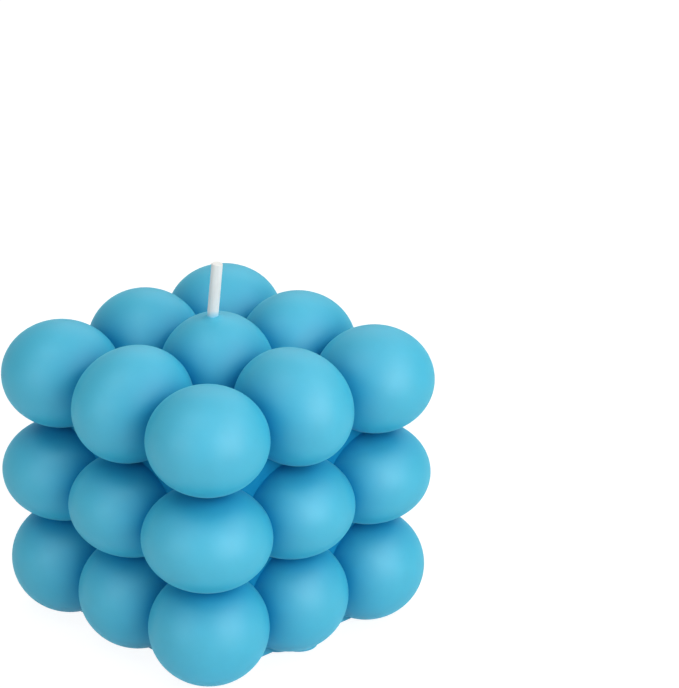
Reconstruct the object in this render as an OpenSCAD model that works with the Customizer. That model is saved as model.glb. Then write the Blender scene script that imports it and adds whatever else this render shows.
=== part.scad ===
// Bubble cube candle: three layers of nine fused wax bubbles, poured in one piece around a wick.
// Millimetres, +Z up. The levelled base stands on z = 0 with the cube's middle on the z axis.
// The front row of bubbles faces -Y.

/* [Bottom layer] */
// Width of a bubble across its waist
bottom_w = 20.9; // [20:0.1:22]
// Height of a bubble from pole to pole, before the base is levelled
bottom_h = 20.2; // [19:0.1:21]
// Distance between the middles of neighbouring bubbles
bottom_pitch = 18.7; // [18:0.1:19.5]
// How much is levelled off the underside of the bubbles to make the base
level_off = 0.6; // [0.3:0.1:1.5]

/* [Middle layer] */
// Width of a bubble across its waist, the widest in the cube
middle_w = 22.5; // [21:0.1:23.5]
// Height of a bubble from pole to pole, pressed flat by the layers around it
middle_h = 17.9; // [17:0.1:20]
// Distance between the middles of neighbouring bubbles
middle_pitch = 19; // [18:0.1:20]
// Rise from the waists of the bottom layer to the waists of the middle layer
middle_rise = 17.3; // [16.5:0.1:18.5]

/* [Top layer] */
// Width of a corner bubble across its waist
top_w = 21.1; // [20:0.1:22]
// Height of a corner bubble from pole to pole
top_h = 18.7; // [17.5:0.1:20]
// Distance between the middles of neighbouring bubbles
top_pitch = 19.3; // [18.5:0.1:20]
// Rise from the waists of the middle layer to the waists of the corner bubbles
top_rise = 18.2; // [17:0.1:19]

/* [Top edge bubbles] */
// Width across the middle
edge_w = 19.7; // [19:0.1:22]
// Length from the cube's middle outwards
edge_d = 22.2; // [20:0.1:23]
// How much higher than the corner bubbles they sit
edge_lift = 0.4; // [0:0.1:1.5]
// Angle that they lean outwards and down, in degrees
edge_tilt = 15; // [0:1:20]

/* [Crown bubble] */
// Width of the bubble in the middle of the top, which carries the wick
crown_w = 20.3; // [19.5:0.1:22]
// Height from pole to pole
crown_h = 20.5; // [19:0.1:22]
// How much higher than the corner bubbles it sits
crown_lift = 1.3; // [0.5:0.1:2.5]

/* [Casting] */
// How far the web between four bubbles stands out past the line of their middles
web_out = 0.7; // [0.2:0.1:1.5]
// How much of the unevenness of a hand-poured candle is kept, 0 for an even grid
uneven = 1; // [0:0.1:1.5]
// Width of the small run of wax squeezed out under one bottom bubble
run_w = 8; // [6:0.5:9]
// Height of that run where it is thickest
run_h = 1.3; // [0.8:0.1:2]
// How far its middle stands out past the bubble's middle
run_out = 1.2; // [0.5:0.1:2]

/* [Wick] */
// Thickness of the waxed wick, and of the channel that it fills
wick_d = 2; // [1.5:0.1:3]
// Length that stands free above the wax
wick_free = 9.6; // [6:0.1:20]
// Lean of the free end from upright, in degrees
wick_lean = 4.8; // [1:0.1:15]
// Heading of the lean, in degrees turned from +X towards +Y
wick_heading = 46; // [0:1:360]
// How far in front of the cube's middle the wick stands
wick_forward = 0.9; // [0:0.1:2]
// Width of the collar of wax drawn up around the wick
collar_w = 3.4; // [3.2:0.1:5]
// Height of the collar above the crown
collar_h = 0.3; // [0.2:0.1:0.8]

/* [Hidden] */

wax_colour = [0.33, 0.7, 0.85];
wick_colour = [0.93, 0.92, 0.88];
// Segments of a full turn
round_fn = 72;
// Spare length that a cut runs past the wax
past = 5;

// Heights of the waists above the table
bottom_level = bottom_h / 2 - level_off;
middle_level = bottom_level + middle_rise;
top_level = middle_level + top_rise;
crown_top = top_level + crown_lift + crown_h / 2;

// Half the width of the solid middle whose faces are the webs, and the height of its top
core_half = middle_pitch + web_out;
core_top = top_level + web_out;

// How deep in the crown the collar starts, and how far its slope runs out at the rim and the root
collar_root = 0.8;
collar_flare = 0.5;
collar_top = crown_top + collar_h;

// How far the leaning end of the wick is rooted in the upright length, and where the lean starts
lean_root = wick_d / 4;
lean_level = collar_top + lean_root;

// Distance of the run of wax from the bubble's own line, along the cube's side
run_side = 0.5;

// Bubbles that sit off the even grid: column, row and layer, then the shift in x, y and z
sits = [
    [0, -1, 1, [0, -0.5, -0.1]],
    [1, -1, 1, [-0.1, -0.2, 0]],
    [1, 1, 0, [0, 0, -0.3]],
    [1, 1, 1, [-0.6, 0, 0.3]],
    [1, 1, 2, [0, 0.3, 0]],
    [-1, 1, 2, [-0.4, 0, 0.2]],
    [1, 0, 2, [0.3, 0, 0.2]]
];

// Shift of one bubble from its even place
function sit(column, row, layer) =
    let (found = [for (s = sits) if (s[0] == column && s[1] == row && s[2] == layer) s[3]])
    len(found) > 0 ? found[0] * uneven : [0, 0, 0];

// The half of an oval that lies right of the y axis; width is that of the whole oval
module half_oval(width, height)
    intersection() {
        scale([1, height / width])
            circle(d = width, $fn = round_fn);
        translate([0, -height])
            square([width, 2 * height]);
    }

// One round of wax about an upright axis
module bubble(width, height)
    rotate_extrude($fn = round_fn)
        half_oval(width, height);

// Eight bubbles around one layer: the first child on the edges, the last on the corners.
// A child finds the way outwards from the cube's middle in $heading.
module ring(layer, pitch, level)
    for (column = [-1:1], row = [-1:1])
        if (column != 0 || row != 0)
            translate([column * pitch, row * pitch, level] + sit(column, row, layer))
                let ($heading = atan2(row, column))
                    children(column * row == 0 ? 0 : $children - 1);

module bottom_layer()
    ring(0, bottom_pitch, bottom_level)
        bubble(bottom_w, bottom_h);

module middle_layer()
    ring(1, middle_pitch, middle_level)
        bubble(middle_w, middle_h);

module top_layer() {
    ring(2, top_pitch, top_level) {
        translate([0, 0, edge_lift])
            rotate([0, 90 + edge_tilt, $heading])
                bubble(edge_w, edge_d);
        bubble(top_w, top_h);
    }
    translate([0, 0, top_level + crown_lift])
        bubble(crown_w, crown_h);
}

// Solid middle that fills the cube and shows as webs between the bubbles
module core()
    translate([-core_half, -core_half, 0])
        cube([2 * core_half, 2 * core_half, core_top]);

// Run of wax squeezed out under the right-hand bubble of the bottom layer
module run()
    translate([bottom_pitch + run_out, run_side, 0])
        bubble(run_w, 2 * run_h);

// Wax drawn up around the wick where it leaves the crown
module collar()
    translate([0, -wick_forward, crown_top - collar_root])
        cylinder(
            d1 = collar_w + 2 * collar_flare,
            d2 = wick_d + 2 * collar_flare,
            h = collar_root + collar_h,
            $fn = round_fn
        );

// Everything under the table line, taken off to level the base
module below_base()
    translate([0, 0, -past])
        cube([4 * core_half, 4 * core_half, 2 * past], center = true);

// Channel that the wick fills, right through the casting
module wick_channel()
    translate([0, -wick_forward, -past])
        cylinder(d = wick_d, h = collar_top + 2 * past, $fn = round_fn);

module wax_body()
    color(wax_colour)
        difference() {
            union() {
                core();
                bottom_layer();
                middle_layer();
                top_layer();
                run();
                collar();
            }
            below_base();
            wick_channel();
        }

// Upright through the wax, then a straight leaning end that is cut square
module wick()
    color(wick_colour)
        translate([0, -wick_forward, 0])
            rotate(wick_heading) {
                cylinder(d = wick_d, h = lean_level, $fn = round_fn);
                translate([0, 0, lean_level])
                    rotate([0, wick_lean, 0])
                        translate([0, 0, -lean_root])
                            cylinder(d = wick_d, h = wick_free, $fn = round_fn);
            }

wax_body();
wick();
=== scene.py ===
"""Bubble cube candle: the looks of the poured wax and of its waxed wick, on a white studio stage."""

import math
from collections import namedtuple
from itertools import product

import bmesh
import bpy
import numpy as np
from bpy.props import FloatProperty, FloatVectorProperty, IntProperty, PointerProperty
from mathutils import Matrix, Vector


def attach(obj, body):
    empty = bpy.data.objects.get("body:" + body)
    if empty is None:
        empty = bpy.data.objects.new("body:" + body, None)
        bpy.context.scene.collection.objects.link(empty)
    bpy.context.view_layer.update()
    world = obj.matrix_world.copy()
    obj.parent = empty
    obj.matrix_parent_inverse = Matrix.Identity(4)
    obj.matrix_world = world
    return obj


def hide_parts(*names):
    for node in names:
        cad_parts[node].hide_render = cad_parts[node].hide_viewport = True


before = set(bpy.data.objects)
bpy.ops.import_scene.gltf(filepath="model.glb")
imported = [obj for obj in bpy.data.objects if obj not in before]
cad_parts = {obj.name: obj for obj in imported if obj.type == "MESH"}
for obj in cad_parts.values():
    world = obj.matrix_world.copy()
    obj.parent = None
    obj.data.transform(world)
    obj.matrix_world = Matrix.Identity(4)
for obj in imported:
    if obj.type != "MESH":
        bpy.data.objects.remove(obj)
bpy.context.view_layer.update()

bl_info = {
    "name": "Bubble cube candle",
    "version": (1, 0, 0),
    "blender": (4, 5, 0),
    "location": "3D View > Sidebar > Candle",
    "description": "Pours the wax, plaits the wick and sets the studio around a bubble cube candle",
    "category": "Add Mesh",
}

MM = 0.001
BODY = "root"
WHITE = (1.0, 1.0, 1.0, 1.0)

# The photograph's width in pixels, and its camera: focal length in pixels, place and axes
PHOTO_WIDTH = 679
PHOTO_FOCAL = 3348.6
SENSOR_WIDTH = 36.0
CAMERA_AT = (0.40261, -0.35635, 0.27783)
CAMERA_RIGHT = (0.68887, 0.72481, 0.01000)
CAMERA_UP = (-0.28794, 0.26095, 0.92141)
CAMERA_BACK = (0.66524, -0.63761, 0.38846)

# Soft lamps: name, degrees to the camera's right, degrees above the table, width in metres, watts
LAMPS = (
    ("key", 47, 24, 0.65, 3.6),
    ("side", 92, 52, 0.50, 1.3),
    ("fill", -45, 20, 0.50, 1.2),
    ("top", -60, 70, 0.50, 1.3),
    ("rim", 170, 38, 0.60, 1.3),
)
LAMP_AIM = (0.0, 0.0, 0.03)
LAMP_REACH = 0.75

# Bubbles that sit off the even grid: (column, row, layer) to the shift in millimetres
SITS = {
    (0, -1, 1): (0.0, -0.5, -0.1),
    (1, -1, 1): (-0.1, -0.2, 0.0),
    (1, 1, 0): (0.0, 0.0, -0.3),
    (1, 1, 1): (-0.6, 0.0, 0.3),
    (1, 1, 2): (0.0, 0.3, 0.0),
    (-1, 1, 2): (-0.4, 0.0, 0.2),
    (1, 0, 2): (0.3, 0.0, 0.2),
}
TOP_LAYER = 2

# Where the lobes of the run of wax are from the middle of its bubble, in millimetres
RUN_LOBES = ((1.5, 0.9, 0.0), (-0.9, -1.9, 0.0))

# A bubble's middle, its axes as a turn, and half its width and height along those axes
Bubble = namedtuple("Bubble", "middle turn half_width half_height")

# How far the shapes reach below the base before it is levelled, and the width of what levels it
BELOW = 3 * MM
SLAB_WIDTH = 200 * MM

# Flats round the collar and round the channel
COLLAR_FLATS = 48
CHANNEL_FLATS = 48

# The collar: rings of its slope, how far its underside is sunk in the crown bubble, and how far its
# outer edge tucks under that bubble's skin
COLLAR_RINGS = 8
COLLAR_SUNK = 1 * MM
COLLAR_TUCK = 0.02 * MM

# Edges that turn by more than this are creases and stay crisp
CRISP = math.radians(12)

# Vertices closer than these are one: on the collar and on the wick
COLLAR_MERGE = 1e-7
WICK_MERGE = 1e-6

# The wick's mesh: faces round and along it, the share of its rings that is inside the wax, and how
# far below the bend those rings end
WICK_SIDES = 64
WICK_RINGS = 260
WICK_INSIDE = 0.08
WICK_DENSE_BELOW = 2 * MM

# How sharply one strand gives way to the next, and how the tip's edge is rounded: down and in
STRAND_CROSSING = 2.5
TIP_DOWN = 0.15 * MM
TIP_IN = 0.08 * MM

# Noise in space: scale, detail and roughness
DYE_CLOUDS = (90.0, 3.0, 0.5)
DYE_FLECKS = (700.0, 4.0, 0.6)
SKIN_SAG = (160.0, 2.0, 0.5)
SKIN_PEEL = (1300.0, 3.0, 0.5)
COTTON_STRANDS = (1800.0, 2.0, 0.5)
COTTON_FIBRES = (6000.0, 3.0, 0.6)
COTTON_SOAK = (500.0, 2.0, 0.5)

# What part of a noise is stretched to run from 0 to 1, for soft patterns and for fine ones
SOFT = (0.35, 0.65)
FINE = (0.3, 0.7)

# Darkest and lightest shade that the patterns give the wax and the cotton
WAX_SHADES = (0.96, 1.03)
COTTON_SHADES = (0.93, 1.07)

# How far a crease goes towards its colour of painted shade, and the wick's foot towards a paler wax
CREASE_SHADE_SHARE = 0.85
FOOT_DYE = 0.85
FOOT_SHADE = 1.3

# The wick's foot is dyed between these heights from the collar's rim, and its edge wanders this much
FOOT_ABOVE = 1.1 * MM
FOOT_BELOW = -0.1 * MM
FOOT_WANDER = 0.3 * MM

# Scale of the cotton's patterns: low along the wick, which draws them out into fibres
FIBRE_SQUEEZE = (1.0, 1.0, 0.05)


def length(name, description, millimetres):
    """A size that a user may change, in metres."""
    return FloatProperty(
        name=name,
        description=description,
        default=millimetres * MM,
        min=0.0,
        precision=5,
        subtype="DISTANCE",
        unit="LENGTH",
    )


def angle(name, description, degrees):
    """An angle that a user may change."""
    return FloatProperty(
        name=name,
        description=description,
        default=math.radians(degrees),
        subtype="ANGLE",
        unit="ROTATION",
    )


def colour(name, description, value):
    """A colour that a user may change."""
    return FloatVectorProperty(
        name=name,
        description=description,
        default=value,
        min=0.0,
        max=1.0,
        size=3,
        subtype="COLOR",
    )


class CastingSettings(bpy.types.PropertyGroup):
    """Sizes and colours of the poured wax"""

    bottom_width: length("Bottom width", "Width of a bottom bubble across its waist", 20.9)
    bottom_height: length("Bottom height", "Height of a bottom bubble before levelling", 20.2)
    bottom_pitch: length("Bottom pitch", "Distance between neighbouring bottom bubbles", 18.7)
    level_off: length("Levelled off", "How much is taken off the underside for the base", 0.6)
    middle_width: length("Middle width", "Width of a middle bubble across its waist", 22.5)
    middle_height: length("Middle height", "Height of a middle bubble", 17.9)
    middle_pitch: length("Middle pitch", "Distance between neighbouring middle bubbles", 19.0)
    middle_rise: length("Middle rise", "Rise from the bottom waists to the middle waists", 17.3)
    top_width: length("Top width", "Width of a top corner bubble across its waist", 21.1)
    top_height: length("Top height", "Height of a top corner bubble", 18.7)
    top_pitch: length("Top pitch", "Distance between neighbouring top bubbles", 19.3)
    top_rise: length("Top rise", "Rise from the middle waists to the top corner waists", 18.2)
    edge_width: length("Edge width", "Width of a top edge bubble across its middle", 19.7)
    edge_depth: length("Edge depth", "Length of a top edge bubble outwards", 22.2)
    edge_lift: length("Edge lift", "How much higher than the corners the edges sit", 0.4)
    edge_tilt: angle("Edge tilt", "Angle that a top edge bubble leans outwards", 15.0)
    crown_width: length("Crown width", "Width of the bubble that carries the wick", 20.3)
    crown_height: length("Crown height", "Height of the bubble that carries the wick", 20.5)
    crown_lift: length("Crown lift", "How much higher than the corners the crown sits", 1.3)
    web_out: length("Web", "How far the webs stand out past the bubbles' middles", 0.7)
    run_width: length("Run width", "Width of each lobe of the run of wax under one bubble", 6.8)
    run_height: length("Run height", "Height of the run of wax", 1.6)
    collar_width: length("Collar width", "Width of the wax drawn up round the wick, at its rim", 2.3)
    collar_height: length("Collar height", "Height of the wax drawn up round the wick", 0.3)
    collar_slope: length("Collar slope", "How far the drawn-up wax runs out on the crown", 1.2)
    # How far the painted shade of the creases reaches from a crease
    crease_reach: length("Crease reach", "How far the deeper dye of a crease reaches", 3.0)
    wax_colour: colour("Wax", "Colour of the dyed wax", (0.042, 0.492, 0.700))
    # Colour of the painted shade deep in the creases
    crease_shade_colour: colour("Creases", "Colour of the wax where the dye is deepest", (0.0, 0.25, 0.52))
    wax_depth: length("Light depth", "How deep light runs in the wax", 1.0)


class WickSettings(bpy.types.PropertyGroup):
    """Sizes and colour of the wick"""

    width: length("Width", "Thickness of the waxed wick", 2.0)
    play: length("Play", "How much thinner the wick is than its channel, on each side", 0.01)
    free: length("Free length", "Length of the leaning end, from its root", 9.6)
    lean: angle("Lean", "Lean of the free end from upright", 4.8)
    heading: angle("Heading", "Heading of the lean, turned from +X towards +Y", 46.0)
    forward: length("Forward", "How far in front of the cube's middle it stands", 0.9)
    relief: length("Plait relief", "Depth of the plaits under their coat of wax", 0.008)
    plait_rise: length("Plait rise", "Height of one full turn of a strand", 8.0)
    strands: IntProperty(
        name="Strands", description="Strands that turn each way round", default=4, min=2, max=12
    )
    cotton_colour: colour("Cotton", "Colour of the waxed cotton", (0.94, 0.94, 0.90))


class StageSettings(bpy.types.PropertyGroup):
    """Light and floor of the studio"""

    floor_width: length("Floor width", "Width of the floor", 4000.0)
    floor_colour: colour("Floor", "Colour of the floor under the lamps", (0.9, 0.9, 0.9))
    floor_white: FloatProperty(
        name="Floor white",
        description="Share of plain white in what the camera sees of the floor",
        default=0.75,
        min=0.0,
        max=1.0,
        subtype="FACTOR",
    )
    floor_glow: FloatProperty(
        name="Floor glow", description="Brightness of that plain white", default=1.22, min=0.0
    )
    room_light: FloatProperty(
        name="Room light", description="Strength of the light from all round", default=0.07, min=0.0
    )


def levels_of(size):
    """Heights of the waists of the bottom, middle and top corner bubbles."""
    bottom = size.bottom_height / 2 - size.level_off
    middle = bottom + size.middle_rise
    return bottom, middle, middle + size.top_rise


def turned_outwards(heading, tilt):
    """Axes of a top edge bubble: laid down along its heading and leaning below level."""
    return Matrix.Rotation(heading, 3, "Z") @ Matrix.Rotation(math.pi / 2 + tilt, 3, "Y")


def crown_of(size):
    """The bubble that carries the wick."""
    middle = Vector((0, 0, levels_of(size)[TOP_LAYER] + size.crown_lift))
    return Bubble(middle, Matrix.Identity(3), size.crown_width / 2, size.crown_height / 2)


def bubbles_of(size):
    """Every bubble of the cube, in metres."""
    levels = levels_of(size)
    pitches = size.bottom_pitch, size.middle_pitch, size.top_pitch
    widths = size.bottom_width, size.middle_width, size.top_width
    heights = size.bottom_height, size.middle_height, size.top_height
    found = []
    for column, row, layer in product((-1, 0, 1), (-1, 0, 1), range(TOP_LAYER + 1)):
        if column == 0 and row == 0:
            continue
        middle = Vector((column, row, 0)) * pitches[layer] + Vector((0, 0, levels[layer]))
        middle += Vector(SITS.get((column, row, layer), (0, 0, 0))) * MM
        turn, width, height = Matrix.Identity(3), widths[layer], heights[layer]
        if layer == TOP_LAYER and column * row == 0:
            turn = turned_outwards(math.atan2(row, column), size.edge_tilt)
            width, height = size.edge_width, size.edge_depth
            middle.z += size.edge_lift
        found.append(Bubble(middle, turn, width / 2, height / 2))
    return found + [crown_of(size)]


def runs_of(size):
    """The two lobes of the run of wax squeezed out under one bottom bubble."""
    bubble = Vector((size.bottom_pitch, 0, 0))
    return [
        Bubble(bubble + Vector(lobe) * MM, Matrix.Identity(3), size.run_width / 2, size.run_height)
        for lobe in RUN_LOBES
    ]


def collar_top_of(size):
    """Height of the rim of the wax drawn up round the wick."""
    crown = crown_of(size)
    return crown.middle.z + crown.half_height + size.collar_height


def core_of(size):
    """Half the width, and the height, of the solid middle whose faces are the webs."""
    return size.middle_pitch + size.web_out, levels_of(size)[TOP_LAYER] + size.web_out


def bubble_gap(points, bubble):
    """Distance of points from a bubble's skin, close to exact near it."""
    local = (points - np.array(bubble.middle)) @ np.array(bubble.turn)
    reach = np.array((bubble.half_width, bubble.half_width, bubble.half_height))
    scaled = np.linalg.norm(local / reach, axis=1)
    steep = np.maximum(np.linalg.norm(local / reach**2, axis=1), np.finfo(float).eps)
    return scaled * (scaled - 1) / steep


def core_gap(points, half_width, height):
    """Distance of points from the sides and top of the solid middle."""
    over = np.column_stack((np.abs(points[:, :2]) - half_width, points[:, 2] - height))
    outside = np.linalg.norm(np.maximum(over, 0), axis=1)
    return np.where(outside > 0, outside, over.max(axis=1))


def new_object(name, data):
    """An object of the scene that holds the data."""
    thing = bpy.data.objects.new(name, data)
    bpy.context.scene.collection.objects.link(thing)
    return thing


def new_piece(name, bm):
    """An object at the origin that holds the mesh."""
    mesh = bpy.data.meshes.new(name)
    bm.to_mesh(mesh)
    bm.free()
    return new_object(name, mesh)


def apply_modifiers(piece):
    """Gives the piece the mesh that its modifiers make, and takes them off."""
    depsgraph = bpy.context.evaluated_depsgraph_get()
    done = bpy.data.meshes.new_from_object(piece.evaluated_get(depsgraph))
    piece.modifiers.clear()
    piece.data = done


class Value:
    """A shader value that takes part in sums, differences and products, which add Math nodes."""

    def __init__(self, desk, socket):
        self.desk = desk
        self.socket = socket

    def __add__(self, other):
        return self.desk.maths("ADD", self, other)

    def __radd__(self, other):
        return self.desk.maths("ADD", other, self)

    def __sub__(self, other):
        return self.desk.maths("SUBTRACT", self, other)

    def __rsub__(self, other):
        return self.desk.maths("SUBTRACT", other, self)

    def __mul__(self, other):
        return self.desk.maths("MULTIPLY", self, other)

    def __rmul__(self, other):
        return self.desk.maths("MULTIPLY", other, self)


class Outputs:
    """The outputs of a node by name or number, as values."""

    def __init__(self, desk, node):
        self.desk = desk
        self.node = node

    def __getitem__(self, key):
        return Value(self.desk, self.node.outputs[key])


class ShaderDesk:
    """Adds nodes to one shader tree."""

    def __init__(self, tree):
        self.tree = tree
        self.tree.nodes.clear()
        self.column = 0

    def add(self, kind, settings, inputs):
        """A node of one type: its settings first, then the values and links of its sockets."""
        node = self.tree.nodes.new(kind)
        node.location = (200 * self.column, 0)
        self.column += 1
        for name, value in settings.items():
            setattr(node, name, value)
        for name, value in inputs.items():
            if isinstance(value, Value):
                self.tree.links.new(value.socket, node.inputs[name])
            else:
                node.inputs[name].default_value = value
        return Outputs(self, node)

    def maths(self, operation, first, second):
        """One operation on two values or numbers."""
        return self.add("ShaderNodeMath", {"operation": operation}, {0: first, 1: second})["Value"]

    def mix_colour(self, factor, first, second):
        """A colour between two colours."""
        inputs = {0: factor, 6: first, 7: second}
        return self.add("ShaderNodeMix", {"data_type": "RGBA"}, inputs)[2]

    def noise(self, place, scale, detail, roughness):
        """Plain noise in space, between 0 and 1."""
        inputs = {"Vector": place, "Scale": scale, "Detail": detail, "Roughness": roughness}
        return self.add("ShaderNodeTexNoise", {}, inputs)["Fac"]

    def spread(self, value, low, high):
        """The value stretched so that low becomes 0 and high becomes 1."""
        inputs = {"Value": value, "From Min": low, "From Max": high}
        return self.add("ShaderNodeMapRange", {}, inputs)["Result"]

    def bump(self, height, depth, strength):
        """Normals of a surface that stands up to the depth, in metres, where the height is 1."""
        inputs = {"Strength": strength, "Distance": depth, "Height": height}
        return self.add("ShaderNodeBump", {}, inputs)["Normal"]

    def surface(self, shader):
        """Gives the material its surface."""
        self.add("ShaderNodeOutputMaterial", {}, {"Surface": shader})


def new_material(name):
    """An empty material, and the desk that fills it."""
    material = bpy.data.materials.new(name)
    material.use_nodes = True
    return material, ShaderDesk(material.node_tree)


def opaque(rgb):
    """A colour with its alpha."""
    return tuple(rgb) + (1.0,)


def shade(rgb, factor):
    """A colour made lighter or darker, with its alpha."""
    return opaque(min(channel * factor, 1.0) for channel in rgb)


def wax_material(size):
    """Satin dyed wax: faint clouds of dye, painted shade darkening the creases, and a skin like fine
    peel.
    """
    material, desk = new_material("dyed_wax")
    place = desk.add("ShaderNodeTexCoord", {}, {})["Object"]
    # How deep in a crease the surface is: it darkens the colour as painted shade, and also roughens
    # the wax and thins its coat
    crease = desk.add("ShaderNodeAttribute", {"attribute_name": "crease"}, {})["Fac"]

    clouds = desk.spread(desk.noise(place, *DYE_CLOUDS), *SOFT)
    flecks = desk.spread(desk.noise(place, *DYE_FLECKS), *FINE)
    dark, light = (shade(size.wax_colour, factor) for factor in WAX_SHADES)
    open_wax = desk.mix_colour(clouds * 0.7 + flecks * 0.3, dark, light)
    # Painted shade: the colour darkens towards the crease colour deep in the creases
    base = desk.mix_colour(crease * CREASE_SHADE_SHARE, open_wax, opaque(size.crease_shade_colour))

    sag, peel = desk.noise(place, *SKIN_SAG), desk.noise(place, *SKIN_PEEL)
    skin = desk.bump(sag * 0.8 + peel * 0.2, depth=0.4 * MM, strength=0.06)
    facing = 1.0 - desk.add("ShaderNodeLayerWeight", {}, {"Blend": 0.5})["Facing"]

    wax = desk.add(
        "ShaderNodeBsdfPrincipled",
        {"subsurface_method": "RANDOM_WALK"},
        {
            "Base Color": base,
            "Roughness": 0.47 + flecks * 0.05 + crease * 0.2,
            "Normal": skin,
            "IOR": 1.5,
            "Specular IOR Level": 0.1,
            "Coat Weight": (1.0 - crease) * facing,
            "Coat Roughness": 0.52,
            "Coat IOR": 1.75,
            "Sheen Weight": 0.5,
            "Sheen Roughness": 0.25,
            "Sheen Tint": (0.3, 0.9, 1.0, 1.0),
            "Subsurface Weight": 0.2,
            "Subsurface Radius": (0.3, 0.7, 1.0),
            "Subsurface Scale": size.wax_depth,
        },
    )["BSDF"]
    desk.surface(wax)
    return material


def wick_material(size, wax, collar_top):
    """Waxed cotton: pale fibres along the wick under thin clear wax, and a foot that drank dye."""
    material, desk = new_material("waxed_cotton")
    place = desk.add("ShaderNodeTexCoord", {}, {})["Object"]
    stretch = {"Vector": place, "Scale": FIBRE_SQUEEZE}
    along = desk.add("ShaderNodeMapping", {}, stretch)["Vector"]
    height = desk.add("ShaderNodeSeparateXYZ", {}, {0: place})["Z"]

    strands = desk.spread(desk.noise(along, *COTTON_STRANDS), *SOFT)
    fibres = desk.spread(desk.noise(along, *COTTON_FIBRES), *FINE)
    soak = desk.spread(desk.noise(place, *COTTON_SOAK), *SOFT)
    dark, light = (shade(size.cotton_colour, factor) for factor in COTTON_SHADES)
    cotton = desk.mix_colour(strands * 0.45 + fibres * 0.3 + soak * 0.25, dark, light)
    foot = desk.spread(
        height + soak * FOOT_WANDER, collar_top + FOOT_ABOVE, collar_top + FOOT_BELOW
    )
    base = desk.mix_colour(foot * FOOT_DYE, cotton, shade(wax.wax_colour, FOOT_SHADE))

    thread = desk.add(
        "ShaderNodeBsdfPrincipled",
        {},
        {
            "Base Color": base,
            "Roughness": 0.5 + soak * 0.15,
            "Normal": desk.bump(strands * 0.6 + fibres * 0.4, depth=0.04 * MM, strength=0.3),
            "Specular IOR Level": 0.4,
            "Subsurface Weight": 0.2,
            "Subsurface Radius": (1.0, 0.9, 0.8),
            "Subsurface Scale": 0.4 * MM,
        },
    )["BSDF"]
    desk.surface(thread)
    return material


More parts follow.
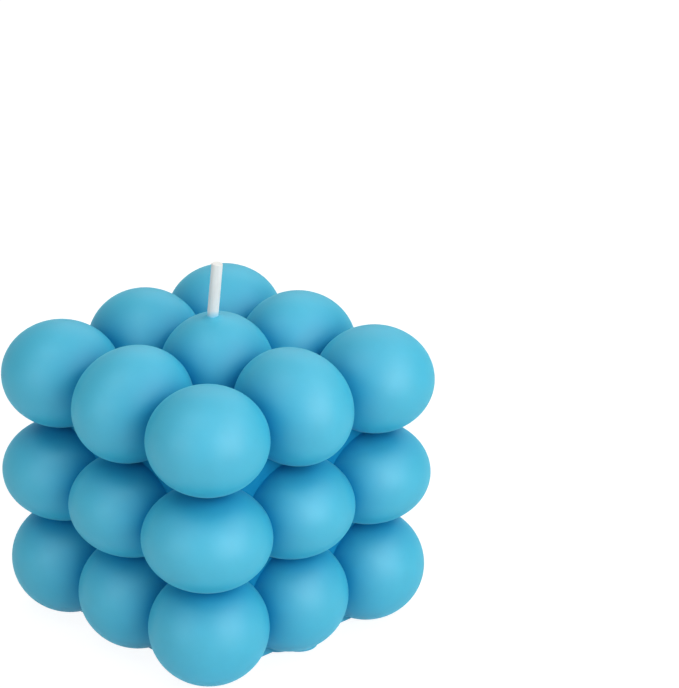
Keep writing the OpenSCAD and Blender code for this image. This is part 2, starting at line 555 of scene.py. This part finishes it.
class CANDLE_OT_pour_wax(bpy.types.Operator):
    """Pour the cube of fused bubbles in one piece, with its creases, level base and wick channel"""

    bl_idname = "candle.pour_wax"
    bl_label = "Pour the wax"

    def execute(self, context):
        size = context.scene.candle_casting
        wick = context.scene.candle_wick
        bubbles = bubbles_of(size)
        bm = bmesh.new()
        self.blow_bubbles(bm, bubbles + runs_of(size))
        self.fill_middle(bm, size)
        self.draw_collar(bm, size, wick)
        casting = new_piece("wax_casting", bm)
        self.fuse_and_trim(casting, size, wick)
        self.keep_creases_crisp(casting)
        self.mark_crease_shade(casting, bubbles, size)
        casting.data.materials.clear()
        casting.data.materials.append(wax_material(size))
        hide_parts("wax_body")
        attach(casting, BODY)
        return {"FINISHED"}

    def blow_bubbles(self, bm, bubbles):
        """Every bubble as a whole squashed ball."""
        for bubble in bubbles:
            stretch = Matrix.Diagonal((bubble.half_width, bubble.half_width, bubble.half_height))
            place = Matrix.Translation(bubble.middle) @ (bubble.turn @ stretch).to_4x4()
            bmesh.ops.create_icosphere(bm, subdivisions=5, radius=1.0, matrix=place)

    def fill_middle(self, bm, size):
        """The solid middle, whose faces are the webs in the pockets between four bubbles."""
        half_width, height = core_of(size)
        stretch = Matrix.Diagonal((2 * half_width, 2 * half_width, height + BELOW, 1.0))
        place = Matrix.Translation((0, 0, (height - BELOW) / 2)) @ stretch
        bmesh.ops.create_cube(bm, size=1.0, matrix=place)

    def draw_collar(self, bm, size, wick):
        """Wax drawn up round the wick: a turned slope that runs out on the crown bubble."""
        rim = size.collar_width / 2
        outline = [(0.0, -COLLAR_SUNK), (rim + size.collar_slope, -COLLAR_SUNK)]
        for ring in range(COLLAR_RINGS + 1):
            out = 1 - ring / COLLAR_RINGS
            lift = size.collar_height * (1 - out) ** 2 - COLLAR_TUCK * out
            outline.append((rim + size.collar_slope * out, lift))
        outline.append((0.0, size.collar_height))
        verts = [bm.verts.new((radius, -wick.forward, lift)) for radius, lift in outline]
        edges = [bm.edges.new(pair) for pair in zip(verts, verts[1:])]
        bmesh.ops.spin(
            bm,
            geom=verts + edges,
            cent=(0, -wick.forward, 0),
            axis=(0, 0, 1),
            angle=2 * math.pi,
            steps=COLLAR_FLATS,
            use_merge=True,
        )
        collar = self.joined_to(verts[0])
        bmesh.ops.remove_doubles(bm, verts=collar, dist=COLLAR_MERGE)
        collar = [vertex for vertex in collar if vertex.is_valid]
        crown = crown_of(size)
        for vertex in collar:
            aside = math.hypot(vertex.co.x, vertex.co.y) / crown.half_width
            vertex.co.z += crown.middle.z + crown.half_height * math.sqrt(1 - aside**2)
        faces = {face for vertex in collar for face in vertex.link_faces}
        bmesh.ops.recalc_face_normals(bm, faces=list(faces))

    def joined_to(self, start):
        """The first vertex and every vertex that edges join to it."""
        found, waiting = {start}, [start]
        while waiting:
            for edge in waiting.pop().link_edges:
                for vertex in edge.verts:
                    if vertex not in found:
                        found.add(vertex)
                        waiting.append(vertex)
        return list(found)

    def fuse_and_trim(self, casting, size, wick):
        """Fuses the shapes into one skin, levels the base and takes the wick's channel out."""
        height = collar_top_of(size)
        bm = bmesh.new()
        slab = Matrix.Translation((0, 0, -SLAB_WIDTH / 2))
        bmesh.ops.create_cube(bm, size=SLAB_WIDTH, matrix=slab)
        bmesh.ops.create_cone(
            bm,
            cap_ends=True,
            segments=CHANNEL_FLATS,
            radius1=wick.width / 2,
            radius2=wick.width / 2,
            depth=height + 2 * BELOW,
            matrix=Matrix.Translation((0, -wick.forward, height / 2)),
        )
        cutter = new_piece("cutter", bm)
        trim = casting.modifiers.new("Fuse and trim", "BOOLEAN")
        trim.operation = "DIFFERENCE"
        trim.solver = "EXACT"
        trim.use_self = True
        trim.object = cutter
        apply_modifiers(casting)
        bpy.data.objects.remove(cutter)
        if not casting.data.polygons:
            raise RuntimeError("The wax didn't fuse into one skin")

    def keep_creases_crisp(self, casting):
        """Smooth bubbles that meet in crisp creases."""
        bm = bmesh.new()
        bm.from_mesh(casting.data)
        for face in bm.faces:
            face.smooth = True
        for edge in bm.edges:
            edge.smooth = edge.calc_face_angle(0.0) < CRISP
        bm.to_mesh(casting.data)
        bm.free()

    def mark_crease_shade(self, casting, bubbles, size):
        """Keeps how deep in a crease each vertex is, for the painted shade of the creases, from 0 in
        the open to 1.
        """
        points = np.array([vertex.co for vertex in casting.data.vertices])
        gaps = [bubble_gap(points, bubble) for bubble in bubbles]
        gaps.append(core_gap(points, *core_of(size)))
        second = np.partition(np.array(gaps), 1, axis=0)[1]
        # The painted shade of the creases fades out towards the base
        above_base = np.clip(points[:, 2] / size.crease_reach, 0, 1)
        depth = np.exp(-np.maximum(second, 0) / size.crease_reach) * above_base
        crease_shade_mark = casting.data.attributes.new("crease", "FLOAT", "POINT")
        crease_shade_mark.data.foreach_set("value", depth.astype(np.float32))


class CANDLE_OT_plait_wick(bpy.types.Operator):
    """Plait the waxed wick, from the base up through the wax to its square-cut leaning tip"""

    bl_idname = "candle.plait_wick"
    bl_label = "Plait the wick"

    def execute(self, context):
        size = context.scene.candle_wick
        casting = context.scene.candle_casting
        collar_top = collar_top_of(casting)
        wick = self.plait(size, collar_top)
        wick.data.materials.append(wick_material(size, casting, collar_top))
        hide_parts("wick")
        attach(wick, BODY)
        return {"FINISHED"}

    def plait(self, size, collar_top):
        """A tube of plaits that stands upright in the wax and bends just above the collar."""
        root = size.width / 4
        bend = collar_top + root
        total = bend + size.free - root
        bm = bmesh.new()
        bmesh.ops.create_grid(bm, x_segments=WICK_SIDES, y_segments=WICK_RINGS, size=0.5)
        lean = Matrix.Rotation(size.lean, 3, "Y")
        heading = Matrix.Rotation(size.heading, 3, "Z")
        foot = Vector((0, -size.forward, 0))
        for vertex in bm.verts:
            turn = (vertex.co.x + 0.5) * 2 * math.pi
            along = self.height_at(vertex.co.y + 0.5, bend, total)
            radius = self.radius_at(turn, along, size, total)
            ring = Vector((radius * math.cos(turn), radius * math.sin(turn), 0))
            past = along - bend
            mitre = max(0.0, 1 - abs(past) / size.width) * ring.x * math.tan(size.lean / 2)
            if past <= 0:
                spot = ring + Vector((0, 0, along - mitre))
            else:
                spot = lean @ (ring + Vector((0, 0, past + mitre))) + Vector((0, 0, bend))
            vertex.co = heading @ spot + foot
        bmesh.ops.remove_doubles(bm, verts=bm.verts, dist=WICK_MERGE)
        bmesh.ops.holes_fill(bm, edges=[edge for edge in bm.edges if edge.is_boundary], sides=0)
        bmesh.ops.recalc_face_normals(bm, faces=bm.faces)
        for face in bm.faces:
            face.smooth = len(face.verts) == 4
            if not face.smooth:
                for edge in face.edges:
                    edge.smooth = False
        return new_piece("waxed_wick", bm)

    def height_at(self, share, bend, total):
        """Distance along the wick: few rings inside the wax, many on the free end."""
        dense_from = bend - WICK_DENSE_BELOW
        if share < WICK_INSIDE:
            return dense_from * share / WICK_INSIDE
        return dense_from + (total - dense_from) * (share - WICK_INSIDE) / (1 - WICK_INSIDE)

    def radius_at(self, turn, along, size, total):
        """Radius of the wick, where strands turn both ways round and pass over and under."""
        climb = 2 * math.pi * along / size.plait_rise
        right = math.cos(size.strands * (turn - climb))
        left = math.cos(size.strands * (turn + climb))
        crossing = math.sin(size.strands * turn) * math.sin(size.strands * climb)
        over = 0.5 + 0.5 * math.tanh(STRAND_CROSSING * crossing)
        plait = over * right + (1 - over) * left
        tip = max(0.0, 1 - (total - along) / TIP_DOWN)
        return size.width / 2 - size.play - size.relief * (0.5 - 0.5 * plait) - TIP_IN * tip**2


class CANDLE_OT_set_stage(bpy.types.Operator):
    """Set the white floor, the soft studio lights and the camera"""

    bl_idname = "candle.set_stage"
    bl_label = "Set the stage"

    def execute(self, context):
        stage = context.scene.candle_stage
        self.lay_floor(stage)
        self.light_room(context.scene, stage)
        for lamp in LAMPS:
            self.hang_lamp(*lamp)
        self.place_camera(context.scene)
        context.scene.view_settings.view_transform = "Standard"
        return {"FINISHED"}

    def seen_directly(self, desk):
        """1 for what the camera sees straight, in a reflection or through glass, and 0 for light."""
        path = desk.add("ShaderNodeLightPath", {}, {})
        seen = path["Is Camera Ray"]
        for also in ("Is Glossy Ray", "Is Transmission Ray"):
            seen = desk.maths("MAXIMUM", seen, path[also])
        return seen

    def lay_floor(self, stage):
        """A wide white floor that keeps the candle's shadow."""
        bm = bmesh.new()
        bmesh.ops.create_grid(bm, x_segments=8, y_segments=8, size=stage.floor_width / 2)
        floor = new_piece("floor", bm)
        material, desk = new_material("white_floor")
        paint = {"Color": opaque(stage.floor_colour)}
        plain = desk.add("ShaderNodeBsdfDiffuse", {}, paint)["BSDF"]
        white = desk.add("ShaderNodeEmission", {}, {"Strength": stage.floor_glow})["Emission"]
        factor = self.seen_directly(desk) * stage.floor_white
        mixed = desk.add("ShaderNodeMixShader", {}, {0: factor, 1: plain, 2: white})["Shader"]
        desk.surface(mixed)
        floor.data.materials.append(material)

    def light_room(self, scene, stage):
        """Even light from all round, and plain white where the camera looks past the floor."""
        world = bpy.data.worlds.new("studio")
        scene.world = world
        world.use_nodes = True
        desk = ShaderDesk(world.node_tree)
        room = {"Color": WHITE, "Strength": stage.room_light}
        light = desk.add("ShaderNodeBackground", {}, room)["Background"]
        seen = desk.add("ShaderNodeBackground", {}, {"Color": WHITE, "Strength": 1.0})["Background"]
        factor = self.seen_directly(desk)
        mixed = desk.add("ShaderNodeMixShader", {}, {0: factor, 1: light, 2: seen})["Shader"]
        desk.add("ShaderNodeOutputWorld", {}, {"Surface": mixed})

    def hang_lamp(self, name, aside, above, width, watts):
        """A soft square lamp turned towards the candle."""
        heading = math.atan2(CAMERA_BACK[1], CAMERA_BACK[0]) + math.radians(aside)
        height = math.radians(above)
        level = math.cos(height)
        way = Vector((math.cos(heading) * level, math.sin(heading) * level, math.sin(height)))
        light = bpy.data.lights.new(name, "AREA")
        light.shape = "SQUARE"
        light.size = width
        light.energy = watts
        place = Matrix.Translation(Vector(LAMP_AIM) + way * LAMP_REACH)
        turn = way.to_track_quat("Z", "Y").to_matrix().to_4x4()
        new_object(name, light).matrix_world = place @ turn

    def place_camera(self, scene):
        """The photograph's own camera."""
        lens = bpy.data.cameras.new("camera")
        lens.sensor_fit = "HORIZONTAL"
        lens.sensor_width = SENSOR_WIDTH
        lens.lens = PHOTO_FOCAL / PHOTO_WIDTH * SENSOR_WIDTH
        lens.clip_start = 0.01
        lens.clip_end = 10.0
        axes = Matrix((CAMERA_RIGHT, CAMERA_UP, CAMERA_BACK)).transposed().to_4x4()
        camera = new_object("camera", lens)
        camera.matrix_world = Matrix.Translation(CAMERA_AT) @ axes
        scene.camera = camera


class CANDLE_PT_panel(bpy.types.Panel):
    """Lists the steps that make the candle, and the sizes and colours that they read"""

    bl_idname = "CANDLE_PT_panel"
    bl_label = "Bubble cube candle"
    bl_space_type = "VIEW_3D"
    bl_region_type = "UI"
    bl_category = "Candle"

    def draw(self, context):
        for operator in OPERATORS:
            self.layout.operator(operator.bl_idname)
        for name, group in SETTINGS.items():
            box = self.layout.box()
            box.label(text=group.__doc__)
            for setting in group.__annotations__:
                box.prop(getattr(context.scene, name), setting)


OPERATORS = (CANDLE_OT_set_stage, CANDLE_OT_pour_wax, CANDLE_OT_plait_wick)
SETTINGS = {
    "candle_casting": CastingSettings,
    "candle_wick": WickSettings,
    "candle_stage": StageSettings,
}


def register():
    """Adds the settings, the operators and the panel to Blender."""
    for group in SETTINGS.values():
        bpy.utils.register_class(group)
    for name, group in SETTINGS.items():
        setattr(bpy.types.Scene, name, PointerProperty(type=group))
    for operator in OPERATORS:
        bpy.utils.register_class(operator)
    bpy.utils.register_class(CANDLE_PT_panel)


def unregister():
    """Takes them out again."""
    bpy.utils.unregister_class(CANDLE_PT_panel)
    for operator in reversed(OPERATORS):
        bpy.utils.unregister_class(operator)
    for name in SETTINGS:
        delattr(bpy.types.Scene, name)
    for group in reversed(SETTINGS.values()):
        bpy.utils.unregister_class(group)


def main():
    """Makes the whole scene."""
    register()
    bpy.ops.candle.set_stage()
    bpy.ops.candle.pour_wax()
    bpy.ops.candle.plait_wick()


if __name__ == "__main__":
    main()
